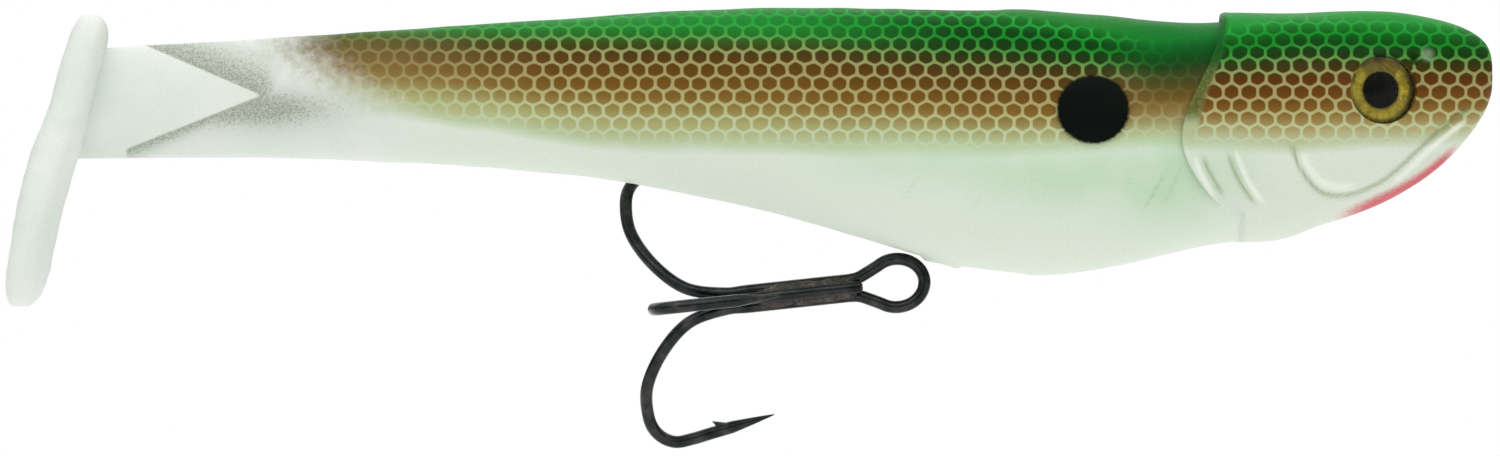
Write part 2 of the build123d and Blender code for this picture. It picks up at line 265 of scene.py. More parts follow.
def flowing(corners, pieces=14):
    """A fine line that flows through its corners."""
    corners = np.array(corners, float)
    ends = np.vstack([2 * corners[0] - corners[1], corners, 2 * corners[-1] - corners[-2]])
    line = []
    for a, b, c, d in zip(ends[:-3], ends[1:-2], ends[2:-1], ends[3:]):
        for t in np.arange(pieces) / pieces:
            line.append(
                0.5 * (2 * b + (c - a) * t + (2 * a - 5 * b + 4 * c - d) * t**2)
                + 0.5 * (3 * b - a - 3 * c + d) * t**3
            )
    return np.array([*line, corners[-1]])


def mark(points, corners, width, taper=0.12):
    """1 on a stroke, falling off over its width, and fading at both of its ends."""
    distance, share = from_stroke(points, flowing(corners, 5))
    fade = step(share, 0, taper) * step(1 - share, 0, taper)
    return bulge(distance, width) * fade


def waves(points, size, seed):
    """Soft irregular unevenness, about -1 to 1, with bumps of this size."""
    maker = np.random.default_rng(seed)
    total = np.zeros(len(points))
    for _ in range(9):
        way = maker.normal(size=3)
        way *= 2 * math.pi / (size * np.linalg.norm(way) * maker.uniform(0.7, 1.5))
        total += np.sin(points @ way + maker.uniform(0, 2 * math.pi))
    return total / 4


# ---------------------------------------------------------------- meshes
def mesh_object(name, points, faces):
    """A new object from points in millimetres."""
    mesh = bpy.data.meshes.new(name)
    mesh.from_pydata((np.asarray(points) * MM).tolist(), [], faces)
    mesh.validate()
    thing = bpy.data.objects.new(name, mesh)
    bpy.context.scene.collection.objects.link(thing)
    return thing


def closed_form(name, grid):
    """A closed object from rings, with both ends shut."""
    rows, columns = grid.shape[:2]
    points = list(grid.reshape(-1, 3))
    faces = []
    for i in range(rows - 1):
        for j in range(columns):
            k = (j + 1) % columns
            faces.append(
                (i * columns + j, i * columns + k, (i + 1) * columns + k, (i + 1) * columns + j)
            )
    for row, order in ((0, 1), (rows - 1, -1)):
        middle = len(points)
        points.append(grid[row].mean(axis=0))
        for j in range(columns):
            k = (j + 1) % columns
            edge = (row * columns + k, row * columns + j)[::order]
            faces.append((*edge, middle))
    thing = mesh_object(name, points, faces)
    face_outward(thing)
    return thing


def face_outward(thing):
    """Turn a closed form's faces to look out of it."""
    volume = 0.0
    mesh = thing.data
    for face in mesh.polygons:
        volume += face.center.dot(face.normal) * face.area
    if volume < 0:
        mesh.flip_normals()


def prism(name, first, last):
    """A cutter between two outlines with equally many points."""
    count = len(first)
    faces = [tuple(range(count - 1, -1, -1)), tuple(range(count, 2 * count))]
    for j in range(count):
        k = (j + 1) % count
        faces.append((j, k, count + k, count + j))
    thing = mesh_object(name, [*first, *last], faces)
    face_outward(thing)
    return thing


def drum(name, centre, way, radius, length, sides=96):
    """A round cutter: its middle at centre, its axis along way."""
    way = Vector(way).normalized()
    across = way.orthogonal().normalized()
    third = way.cross(across)
    rings = []
    for end in (-0.5, 0.5):
        turns = [2 * math.pi * j / sides for j in range(sides)]
        spokes = [across * math.cos(turn) + third * math.sin(turn) for turn in turns]
        rings.append([Vector(centre) + way * (end * length) + spoke * radius for spoke in spokes])
    return prism(name, *rings)


def stadium(name, middle, length, width, low, high, sides=20):
    """A long slot's cutter, upright, its length along x."""
    outline = []
    for end in (1, -1):
        for j in range(sides + 1):
            turn = -math.pi / 2 + math.pi * j / sides
            x = middle + end * (length / 2 - width / 2 + width / 2 * math.cos(turn))
            outline.append((x, end * width / 2 * math.sin(turn)))
    return prism(name, [(x, y, low) for x, y in outline], [(x, y, high) for x, y in outline])


def combine(thing, other, operation):
    """Cut other out of thing, or join the two, and throw other away."""
    change = thing.modifiers.new("change", "BOOLEAN")
    change.operation = operation
    change.solver = "EXACT"
    change.object = other
    view = bpy.context.evaluated_depsgraph_get()
    result = bpy.data.meshes.new_from_object(thing.evaluated_get(view))
    thing.modifiers.clear()
    old = thing.data
    result.name = thing.name
    thing.data = result
    bpy.data.meshes.remove(old)
    bpy.data.objects.remove(other)


def soften(thing, degrees=38):
    """Smooth shading, with the cut edges kept crisp."""
    thing.data.shade_smooth()
    thing.data.set_sharp_from_angle(angle=math.radians(degrees))


# ---------------------------------------------------------------- where the small parts are
def middle_of(name):
    """The middle of a CAD node's box."""
    low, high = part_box(name)
    return (low + high) / 2 / MM


def disc_way(name, side):
    """Which way a thin round disc looks: the direction that it is thinnest in."""
    points = np.array([vertex.co / MM for vertex in nodes[name].data.vertices])
    spread = points - points.mean(axis=0)
    way = np.linalg.svd(spread, full_matrices=False)[2][2]
    return Vector(way if way[1] * side > 0 else -way)


joints = {joint["name"]: joint for joint in frame["joints"]}
mounts = {mount["name"]: mount for mount in frame["record"]["mounts"]}
hook_eye = np.array(joints["hook_swing"]["pos_m"]) / MM
line_exit = np.array(mounts["line_exit"]["pos_m"]) / MM
line_exit_way = np.array(mounts["line_exit"]["axis"])
eyes = []
for side, flank in ((-1, "right"), (1, "left")):
    foil_name = f"{flank}_iris_foil"
    eyes.append((middle_of(foil_name), disc_way(foil_name, side)))
eye_low, eye_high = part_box("right_eye_lens")
EYE_RADIUS = (eye_high.z - eye_low.z) / 2 / MM
EYE = np.array([(eye_low.x + eye_high.x) / 2 / MM, (eye_low.z + eye_high.z) / 2 / MM])
SLEEVE_RADIUS = 1.35
SLOT_MIDDLE = -55.2
SLOT_LENGTH = 10.0
SLOT_WIDTH = 1.3
SLOT_FLOOR = 1.5
GROOVE_RADIUS = 3.67  # the hook's eye lies in a groove of the belly
GROOVE_WIDTH = 1.64
ABOVE_BACK = 20.0  # cutters end in the air over the back


def gill_edge():
    """The head's rear edge, felt from the side: x at each height."""
    heights = np.linspace(-16.0, 5.7, 60)
    edge = []
    for z in heights:
        outside, inside = -36.0, -22.0
        for _ in range(16):
            x = (outside + inside) / 2
            if touch(head_surface, (x, -60, z), (0, 1, 0)) is None:
                outside = x
            else:
                inside = x
        edge.append(inside)
    return heights, np.array(edge)


gill_heights, gill_xs = gill_edge()

# ---------------------------------------------------------------- head
GILL_INSET = 0.25  # how far the lip turns in

rows_along = 120
share = np.linspace(0, 1, rows_along) ** 1.5
x = np.repeat((-30.0 * share)[:, None], 4 * QUARTER, axis=1)
for _ in range(6):
    grid = ring(head_line, x)
    edge = np.interp(grid[:, :, 2], gill_heights, gill_xs)
    x = share[:, None] * edge
head_grid = ring(head_line, x)
head_out = facing(head_grid)

flat = head_grid.reshape(-1, 3)
from_edge = np.abs(flat[:, 0] - np.interp(flat[:, 2], gill_heights, gill_xs))
body_there = ring(body_line, x).reshape(-1, 3)
# the head's rear edge stands proud of the body at the back and flanks, and runs out flush
# towards the throat
flush = step(-flat[:, 2], 10.5, 15.0) * step(-from_edge, -9.0, 0.0)
flat = flat + (body_there - flat) * flush[:, None]

side_view = flat[:, [0, 2]]
relief = np.zeros(len(flat))

# the folds: outline, how far they stand out, how wide, how much painted highlight (above 0) or painted shade
# (below 0) lies along them, how wide that paint is, and how much of their length their ends fade over
CHEEK = EYE + [
    (-9.4, -4.6),
    (-8.9, -6.8),
    (-7.6, -9.1),
    (-5.8, -10.6),
    (-2.9, -10.6),
    (0.6, -9.0),
    (4.0, -6.0),
    (6.6, -3.7),
    (9.8, -1.3),
]
LIP = EYE + [(0.2, -10.1), (2.4, -8.5), (4.5, -6.5), (6.9, -4.5), (9.6, -2.4)]
INNER_CHEEK = EYE + [(-8.4, -5.6), (-7.6, -7.8), (-6.2, -9.3), (-4.3, -9.9), (-1.8, -9.6)]
JAW = EYE + [(-2.0, -11.3), (1.4, -9.9), (4.6, -7.3), (7.4, -5.2)]
GILL = np.array([(-26.7, -6.9), (-26.3, -8.6), (-25.2, -11.0), (-23.9, -12.7), (-22.8, -13.5)])
OUTER_GILL = np.array([(-30.9, -7.6), (-30.4, -9.4), (-29.2, -11.6), (-28.0, -13.2)])
FOLDS = (
    (CHEEK, -0.46, 0.32, -0.9, 0.26, 0.06),
    (LIP, 0.34, 0.45, 1.0, 0.36, 0.2),
    (INNER_CHEEK, 0.30, 0.55, 1.0, 0.42, 0.2),
    (JAW, -0.22, 0.30, 0.0, 0.30, 0.25),
    (GILL, 0.46, 0.42, 1.0, 0.36, 0.25),
    (GILL + (-0.75, -0.1), -0.36, 0.42, -0.8, 0.34, 0.25),
    (OUTER_GILL, 0.44, 0.42, 1.0, 0.36, 0.3),
    (OUTER_GILL + (0.85, 0.15), -0.34, 0.42, -0.8, 0.34, 0.3),
)
for outline, out, width, shade, painted, taper in FOLDS:
    relief += out * mark(side_view, outline, width, taper)

# the thin glassy rim along the gill edge, behind a moulded line
RIM_HEIGHTS = [-9.0, -5.0, 1.0, 4.0, 6.0]
RIM_WIDTHS = [1.0, 1.3, 0.95, 0.6, 0.45]
rim_width = np.interp(flat[:, 2], RIM_HEIGHTS, RIM_WIDTHS)
on_flank = step(flat[:, 2], -13.0, -8.0)
relief += 0.13 * bulge(from_edge - rim_width, 0.16) * on_flank
relief -= 0.12 * on_flank * step(-from_edge, -rim_width, -0.5 * rim_width)

# eyelid, nostril and the bump beside it
NOSTRIL = EYE + (3.3, 3.0)
off_eye = np.hypot((side_view[:, 0] - EYE[0]) / 0.99, side_view[:, 1] - EYE[1]) - EYE_RADIUS
relief += 0.28 * bulge(off_eye - 0.25, 0.42) - 0.16 * bulge(off_eye - 1.35, 0.5)
nostril = away_from(side_view, NOSTRIL)
relief += 0.10 * bulge(nostril - 0.85, 0.3) - 0.45 * bulge(nostril, 0.42)
relief += 0.26 * bulge(away_from(side_view, EYE + (4.9, 3.5)), 0.75)

relief += 0.035 * waves(flat, 5.0, 3) * step(from_edge, 0, 2)
head_grid = raised(flat.reshape(head_grid.shape), relief, head_out)

# the nose turns in round the sleeve of the line hole
turn_in = []
for radius, back_by in ((1.42, 0.0), (SLEEVE_RADIUS - 0.1, 0.05)):
    first = head_grid[0].copy()
    reach = np.hypot(first[:, 1], first[:, 2])
    first[:, 1] *= radius / reach
    first[:, 2] *= radius / reach
    first[:, 0] = -back_by
    turn_in.append(first)
head_grid = np.concatenate([[turn_in[1]], [turn_in[0]], head_grid[1:]])


def shrunk(points, line, clearance):
    """Points moved onto an outline at their own x, with a little clearance."""
    rings = ring(line, points[:, 0][None, :])[0]
    centre = np.array([0.0, 0.0, -5.0])
    way = rings - centre
    way[:, 0] = 0
    way /= np.linalg.norm(way, axis=1)[:, None]
    return rings + way * clearance


edge = head_grid[-1]
lip_out = facing(head_grid)[-1]
lip_rows = []
for inward, forward in ((0.07, 0.02), (0.17, 0.10), (GILL_INSET, 0.26)):
    row = edge - lip_out * inward
    row[:, 0] = edge[:, 0] - 0.12 + forward
    lip_rows.append(row)
under = edge.copy()
under[:, 0] += 0.9
under = shrunk(under, body_line, 0.0)
under[:, 0] = np.minimum(under[:, 0], SHOULDER_X - 0.3)
seat = edge.copy()
seat[:, 0] = SHOULDER_X + 0.2
seat = shrunk(seat, body_line, 0.02)
neck_rows = ring(neck_line, [SHOULDER_X + 0.35, NECK_FRONT + 0.2])
neck_rows[:, :, 1] *= 1.02
head_grid = np.concatenate([head_grid, lip_rows, [under, seat], neck_rows])
head_skin = closed_form("head_skin", head_grid)
SOCKET_LONG = 8.0
SOCKET_SINK = 0.16  # the socket's floor lies this far under the middle of the foil
for place, looks in eyes:
    outer = place + looks * (SOCKET_LONG / 2 - SOCKET_SINK)
    socket = drum("socket", outer, looks, EYE_RADIUS + 0.03, SOCKET_LONG)
    combine(head_skin, socket, "DIFFERENCE")
combine(head_skin, drum("nose_hole", (-1, 0, 0), (1, 0, 0), SLEEVE_RADIUS, 6.0), "DIFFERENCE")

# ---------------------------------------------------------------- body
body_x = np.concatenate([np.arange(-26.4, SEAM_X, -0.48), [SEAM_X]])
body_grid = ring(body_line, body_x)
flat = body_grid.reshape(-1, 3)
relief = 0.05 * waves(flat, 9.0, 5) + 0.02 * waves(flat, 3.0, 6)
# both ends keep the plain outline, where they meet the head and the tail
relief *= step(-flat[:, 0], 29.0, 34.0) * step(flat[:, 0], SEAM_X, SEAM_X + 6)
# the lips of the slot sag a little, more on the right
slot_share = np.clip(1 - ((flat[:, 0] - SLOT_MIDDLE) / (SLOT_LENGTH / 2 + 0.6)) ** 2, 0, 1)
near_slot = bulge(flat[:, 1], 1.5) * (flat[:, 2] > 0)
relief -= (0.20 + 0.22 * (flat[:, 1] < 0)) * near_slot * slot_share
# soft rim round the hole that the line leaves by
run = flat - line_exit
off_axis = run - (run @ line_exit_way)[:, None] * line_exit_way
from_hole = np.linalg.norm(off_axis, axis=1)
relief += 0.38 * bulge(from_hole - 1.55, 0.5) * (flat[:, 2] < -10)
# creases that fan out over the belly behind the gills
CREASE_WIDTH = 0.22
CREASE_TAPER = 0.3
CREASES = (
    ([(-33.4, -9.0), (-34.6, -11.5), (-36.4, -14.6)], 0.07),
    ([(-31.8, -8.4), (-32.8, -11.0), (-34.2, -13.8)], 0.06),
    ([(-36.4, -8.8), (-37.4, -10.6), (-38.8, -12.8)], 0.04),
    ([(-52.0, -11.5), (-53.0, -13.0), (-54.2, -14.4)], 0.05),
    ([(-58.5, -9.6), (-59.6, -11.4), (-61.0, -13.2)], 0.05),
)
for corners, depth in CREASES:
    relief -= depth * mark(flat[:, [0, 2]], corners, CREASE_WIDTH, CREASE_TAPER)
body_grid = raised(body_grid, relief)
shoulder = ring(body_line, [SHOULDER_X, -26.1])
neck = ring(neck_line, [NECK_FRONT, -22.0, -24.0, SHOULDER_X + 0.15])
body_grid = np.concatenate([neck, shoulder, body_grid])
body_skin = closed_form("body_skin", body_grid)
for cutter in (
    stadium("slot", SLOT_MIDDLE, SLOT_LENGTH, SLOT_WIDTH, SLOT_FLOOR, ABOVE_BACK),
    drum("exit_hole", line_exit - line_exit_way, line_exit_way, SLEEVE_RADIUS, 6.0),
    drum("ring_groove", hook_eye, (0, 1, 0), GROOVE_RADIUS, GROOVE_WIDTH),
):
    combine(body_skin, cutter, "DIFFERENCE")

# ---------------------------------------------------------------- tail
boot_surface = surface_of("boot_tail")
boot_low, boot_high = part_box("boot_tail")
BOOT_BOTTOM = boot_low.z / MM
BOOT_TOP = boot_high.z / MM
BOOT_AROUND = 96
ROOT_LOW, ROOT_HIGH = -10.5, 4.2  # the stem joins the paddle between these heights
ROOT_ASIDE = 2.1  # and the feelers pass beside it


def measure_boot(heights):
    """Rows of (z, front x, back x, half width) of the paddle."""
    rows = []
    for z in heights:
        aside = ROOT_ASIDE if ROOT_LOW < z < ROOT_HIGH else 0.0
        back = touch(boot_surface, (-170, aside, z), (1, 0, 0))
        front = touch(boot_surface, (-120, aside, z), (-1, 0, 0))
        if front is None or back is None:
            continue
        side = touch(boot_surface, ((front.x + back.x) / 2, -30, z), (0, 1, 0))
        rows.append((z, front.x, back.x, abs(side.y)))
    return np.array(rows)


boot_line = measure_boot(np.linspace(BOOT_BOTTOM + 0.06, BOOT_TOP - 0.06, 90))
turns = np.linspace(0, math.pi, 74)
heights = (BOOT_TOP + BOOT_BOTTOM) / 2 + (BOOT_TOP - BOOT_BOTTOM - 0.14) / 2 * np.cos(turns)
# more rows where the paddle rounds over at its ends
heights = 0.5 * heights + 0.5 * np.linspace(heights[0], heights[-1], len(heights))
front, back, wide = [np.interp(heights, boot_line[:, 0], boot_line[:, i]) for i in (1, 2, 3)]
around = 2 * math.pi * np.arange(BOOT_AROUND) / BOOT_AROUND
squareness = 2 / 2.7
unit_x, unit_y = (
    np.sign(wave) * np.abs(wave) ** squareness for wave in (np.cos(around), np.sin(around))
)
boot_grid = np.stack(
    [
        ((front + back) / 2)[:, None] + ((front - back) / 2)[:, None] * unit_x,
        wide[:, None] * unit_y,
        np.repeat(heights[:, None], BOOT_AROUND, axis=1),
    ],
    axis=-1,
)
flat = boot_grid.reshape(-1, 3)
uneven = 0.09 * waves(flat, 7.0, 11) + 0.05 * waves(flat, 2.6, 12)
inside = step(flat[:, 2], BOOT_BOTTOM, BOOT_BOTTOM + 3) * step(-flat[:, 2], -BOOT_TOP, 3 - BOOT_TOP)
boot = closed_form("boot", raised(boot_grid, uneven * inside))

stem_x = np.concatenate([[SEAM_X], np.arange(SEAM_X - 0.4, STEM_END, -0.4)])
stem_grid = ring(body_line, stem_x)
flat = stem_grid.reshape(-1, 3)
relief = 0.03 * waves(flat, 6.0, 8) * step(-flat[:, 0], -SEAM_X, 4 - SEAM_X)
tail_skin = closed_form("tail_skin", raised(stem_grid, relief))
combine(tail_skin, boot, "UNION")

# ---------------------------------------------------------------- treble hook
HOOK_TILT = math.radians(6.1)
WIRE = 0.64
PITCH = 0.82  # half the distance between the double's two wires
THIRD_OUT = 0.98
EYE_LONG = 2.85
EYE_HIGH = 2.47
FLARE = math.radians(52)
SHANK_FRONT = 5.0
THIRD_FRONT = 3.7  # the third wire is cut off square behind the eye
THIRD_SETBACK = 1.9
BEND = 17.8
TINE = [
    (21.6, 1.1),
    (24.6, 4.2),
    (26.6, 8.2),
    (26.8, 11.9),
    (26.0, 14.0),
    (24.4, 15.1),
    (22.5, 14.95),
]
POINT_WAY = math.radians(12.2)
POINT_LONG = 4.6
BARB = (  # along the shank, out from it, half thickness
    (17.0, 13.95, 0.16),
    (18.4, 13.75, 0.30),
    (20.35, 13.12, 0.05),
    (19.6, 14.3, 0.28),
)
along = np.array([-math.cos(HOOK_TILT), 0.0, -math.sin(HOOK_TILT)])
upward = np.array([-math.sin(HOOK_TILT), 0.0, math.cos(HOOK_TILT)])
aside = np.array([0.0, 1.0, 0.0])


def travelled(line):
    """How far along the line each of its points lies."""
    return np.concatenate([[0], np.cumsum(np.linalg.norm(np.diff(line, axis=0), axis=1))])


def evenly(line, gap):
    """The same line in even steps."""
    run = travelled(line)
    places = np.linspace(0, run[-1], max(int(run[-1] / gap), 2))
    return np.column_stack([np.interp(places, run, line[:, i]) for i in range(3)])


def tine_line(start, tine_way, setback, step_aside):
    """Centre line of a wire from the shank's start to the tip of its point."""
    flat_line = [(start, 0.0), (start + 1.5, 0.0), (BEND - setback - 3, 0.0), (BEND - setback, 0.0)]
    flat_line += [(run - setback, out) for run, out in TINE]
    run, out = flat_line[-1]
    for far in (1.4, 2.8, 4.2, 6.0, 8.8):
        flat_line.append((run - far * math.cos(POINT_WAY), out - far * math.sin(POINT_WAY)))
    flat_line = np.array(flat_line)
    return hook_eye + step_aside + flat_line[:, :1] * along + flat_line[:, 1:] * tine_way


def eye_line(way):
    """Half of the eye, from its front round to the shank: way is 1 above and -1 below."""
    line = []
    turns = np.linspace(math.pi, FLARE, 14)
    oval = [(EYE_LONG * math.cos(turn), EYE_HIGH * math.sin(turn)) for turn in turns]
    for run, out in (*oval, (2.9, 1.38), (3.9, 0.95)):
        line.append(hook_eye + run * along + way * out * upward)
    return line


def tube_rows(line, thickness, sides=20):
    """Rings of a round wire along a fine line, each as thick as given."""
    way = np.gradient(line, axis=0)
    way /= np.linalg.norm(way, axis=1)[:, None]
    across = np.cross(way[0], [0.3, 1.0, 0.2])
    rows = []
    for point, run, radius in zip(line, way, thickness):
        across = across - run * (across @ run)
        across /= np.linalg.norm(across)
        third = np.cross(run, across)
        turns = 2 * math.pi * np.arange(sides) / sides
        spokes = np.cos(turns)[:, None] * across + np.sin(turns)[:, None] * third
        rows.append(point + spokes * radius)
    return np.array(rows)


def ground(line):
    """Wire radius along a line that ends in a ground point: slightly hollow, with a fine tip."""
    run = travelled(line)
    share = np.clip((run[-1] - run) / POINT_LONG, 0, 1)
    return WIRE * (0.05 + 0.95 * share**0.85)


def barb(tine_way, setback, step_aside):
    """The barb cut into the point, on the side of the shank."""
    base = hook_eye + step_aside
    side = np.cross(along, tine_way)
    corners = []
    for run, out, half in BARB:
        for sign in (-1, 1):
            corners.append(base + (run - setback) * along + out * tine_way + sign * half * side)
    faces = [(0, 2, 4, 6), (7, 5, 3, 1), (0, 1, 3, 2), (2, 3, 5, 4), (4, 5, 7, 6), (6, 7, 1, 0)]
    thing = mesh_object("barb", corners, faces)
    face_outward(thing)
    return thing


def wire_piece(name, centre_line, tines):
    """A hook wire; tines gives each tine's direction, setback and step aside."""
    line = evenly(flowing(centre_line), 0.22)
    thickness = ground(line)
    if len(tines) == 2:
        thickness = np.minimum(thickness, ground(line[::-1])[::-1])
    thing = closed_form(name, tube_rows(line, thickness))
    for tine in tines:
        combine(thing, barb(*tine), "UNION")
    soften(thing, 40)
    return thing


lean = math.radians(30)
up_tine = aside * math.sin(lean) + upward * math.cos(lean)
down_tine = aside * math.sin(lean) - upward * math.cos(lean)
upper = (up_tine, 0.0, upward * PITCH)
lower = (down_tine, 0.0, upward * -PITCH)
third = (-aside, THIRD_SETBACK, aside * -THIRD_OUT)
whole_double = [
    *tine_line(SHANK_FRONT, *upper)[::-1],
    *eye_line(1)[::-1],
    *eye_line(-1)[1:],
    *tine_line(SHANK_FRONT, *lower),
]
double_wire = wire_piece("hook_double_wire", whole_double, [upper, lower])
third_wire = wire_piece("hook_third_wire", tine_line(THIRD_FRONT, *third), [third])

# the braze: a lumpy fillet between the wires that runs out thin at both of its ends
braze_rows = []
for run in np.linspace(3.5, 16.6, 44):
    full = step(run, 3.4, 4.8) * step(-run, -16.8, -12.5)
    ring_points = []
    for turn in 2 * math.pi * np.arange(36) / 36:
        up, out = math.cos(turn), math.sin(turn)
        wide = 0.30 + 0.92 * full + 0.05 * math.sin(2.3 * run + 3 * turn) * full
        deep = 0.22 + (0.48 if out > 0 else 0.62) * full
        ring_points.append(
            hook_eye + run * along + wide * up * upward + (deep * out - 0.28) * aside
        )
    braze_rows.append(ring_points)
braze_piece = closed_form("hook_braze", np.array(braze_rows))
soften(braze_piece, 60)

# ---------------------------------------------------------------- what is painted where
NET_HEIGHT = -2.0  # the net's rows run level with this height


def girth_table(line):
    """How far each point round a section lies from the net's level, measured on the skin."""
    places = np.arange(line[0, 0], line[-1, 0], 0.5)
    rings = ring(line, places)
    half_ring = rings[:, : 2 * QUARTER + 1]
    walked = np.linalg.norm(np.diff(half_ring, axis=1), axis=2)
    length = np.concatenate([np.zeros((len(places), 1)), np.cumsum(walked, axis=1)], axis=1)
    table = []
    angles = np.linspace(0, math.pi, 121)
    for row, run, x in zip(half_ring, length, places):
        back, belly, half = (float(v) for v in at(line, x))
        widest = belly + WIDEST * (back - belly)
        angle = section_angle(row[:, 1], row[:, 2], back, belly, half, widest)
        level = np.interp(-NET_HEIGHT, -row[:, 2], run)
        table.append(np.interp(angles, angle, level - run))
    return places, angles, np.array(table)


def section_angle(y, z, back, belly, half, widest):
    """0 at the back, a right angle at the widest line, and half a turn at the belly."""
    up = np.where(z > widest, (z - widest) / (back - widest), (z - widest) / (widest - belly))
    return np.arctan2(np.abs(y) / half, up)


def girth_of(points, line):
    places, angles, table = girth_table(line)
    back, belly, half = at(line, points[:, 0])
    widest = belly + WIDEST * (back - belly)
    angle = section_angle(points[:, 1], points[:, 2], back, belly, half, widest)
    i = np.clip((points[:, 0] - places[0]) / 0.5, 0, len(places) - 1.001)
    j = np.clip(angle / math.pi * 120, 0, 119.999)
    i0 = i.astype(int)
    j0 = j.astype(int)
    fi = i - i0
    fj = j - j0
    return (
        table[i0, j0] * (1 - fi) * (1 - fj)
        + table[i0 + 1, j0] * fi * (1 - fj)
        + table[i0, j0 + 1] * (1 - fi) * fj
        + table[i0 + 1, j0 + 1] * fi * fj
    )


# heights where the green back turns brown and the brown flank turns white: (x, green, white)
BANDS = np.array(
    [
        (-125.0, 4.2, -1.5),
        (-112.0, 3.7, -1.8),
        (-91.5, 2.9, -4.1),
        (-71.0, 2.5, -4.7),
        (-50.5, 1.5, -5.1),
        (-35.0, 0.0, -5.0),
        (-19.7, 1.4, -4.9),
        (-4.3, 1.2, -4.3),
        (0.0, 1.2, -4.0),
    ]
)
SPOT = (-41.1, -3.5)
SPOT_HALF = (3.7, 3.5)
VEE_APEX = (-126.1, -2.0)
VEE_UPPER = -0.429  # slopes of the two arms of the bare wedge
VEE_LOWER = 0.397
NET_PLACES = [-124, -119, -112, -103, -96, -41, -35.5, -30.5, -29]
NET_STRENGTHS = [0.12, 0.22, 0.35, 0.75, 1.0, 1.0, 0.35, 0.25, 0.0]


def gauss(x, z, cx, cz, rx, rz):
    """1 in the middle of a soft oval patch of the side view."""
    return np.exp(-(((x - cx) / rx) ** 2) - ((z - cz) / rz) ** 2)


def head_fields(x, z):
    """What only the head's paint needs."""
    belly = np.interp(x, head_line[:, 0], head_line[:, 2])
    gap = x - np.interp(z, gill_heights, gill_xs)
    rim = step(np.interp(z, RIM_HEIGHTS, RIM_WIDTHS) - gap, -0.12, 0.12) * step(z, -8.5, -4.5)
    along_throat = step(x, -18.5, -12.0) * step(-x, 2.4, 5.5)
    side_view = np.column_stack([x, z])
    # painted highlights along raised folds and painted shade along sunken ones, as the table's fourth column gives
    light, dark = np.zeros((2, len(x)))
    for outline, out, width, shade, painted, taper in FOLDS:
        stroke = mark(side_view, outline, painted, taper)
        light += max(shade, 0) * stroke
        dark += max(-shade, 0) * stroke
    knob = away_from(side_view, EYE + (4.7, 3.6))
    return {
        "head": np.ones(len(x)),
        "rim": rim,
        "net": 1 - rim,
        "throat": along_throat * step(belly + 1.9 - z, 0.0, 1.7),
        "mint": 0.5 * gauss(x, z, -28, -9.5, 4, 4),
        "fold_highlight_and_shade": np.clip(light, 0, 1) - np.clip(dark, 0, 1),
        # the bump beside the nostril gets a painted highlight, and the nostril's pit gets painted shade
        "nostril": bulge(knob, 0.8) - 1.6 * bulge(away_from(side_view, NOSTRIL), 0.42),
    }


def body_fields(x, z, tone):
    """What only the body's and the tail's paint needs."""
    run = x - VEE_APEX[0]
    upper = VEE_APEX[1] + VEE_UPPER * run - z
    lower = z - (VEE_APEX[1] + VEE_LOWER * run)
    bare = np.minimum(upper, lower)
    # dark specks gather along the wedge and thin out away from it
    forward = np.maximum(run, 0)
    reach = np.where(z > VEE_APEX[1], 4.4, 1.35)
    band = bulge(np.maximum(-bare, 0), reach) * step(-forward, -3.0, 0.0)
    mint = gauss(x, z, -33, -10.5, 6.5, 4.5) + 0.8 * gauss(x, z, -45, -10.5, 9, 3.2)
    mint += 0.55 * gauss(x, z, -60, -8.5, 9, 2.6)
    # painted shade along the creases, darker where they run deeper
    creases = np.zeros(len(x))
    for corners, depth in CREASES:
        stroke = mark(np.column_stack([x, z]), corners, CREASE_WIDTH, CREASE_TAPER)
        creases += 9 * depth * stroke
    return {
        "net": np.interp(x, NET_PLACES, NET_STRENGTHS),
        "spot": np.hypot((x - SPOT[0]) / SPOT_HALF[0], (z - SPOT[1]) / SPOT_HALF[1]),
        "bare": np.maximum(bare, step(-x, 138.0, 142.5) * 2.2 - 0.9),
        "grey": np.clip(np.maximum(band, 1.1 * gauss(forward, z, 0, -3.4, 9.0, 2.3)), 0, 1),
        # the sprayed colours thin out towards the tail, sooner low on the flank
        "colours": x + 122.6 - 1.5 * np.clip(1.2 - z, -1.4, 6.0),
        "dusk": step(x, -40.5, -32.5) * step(tone, 0.30, 0.44),
        "mint": np.clip(mint, 0, 1),
        "fold_highlight_and_shade": -np.clip(creases, 0, 0.7),
    }


# what a skin's paint is told where it has nothing of the kind
PLAIN = {"head": 0, "rim": 0, "throat": 0, "spot": 2, "bare": -9, "grey": 0, "colours": 30}
PLAIN |= {"dusk": 0, "nostril": 0}


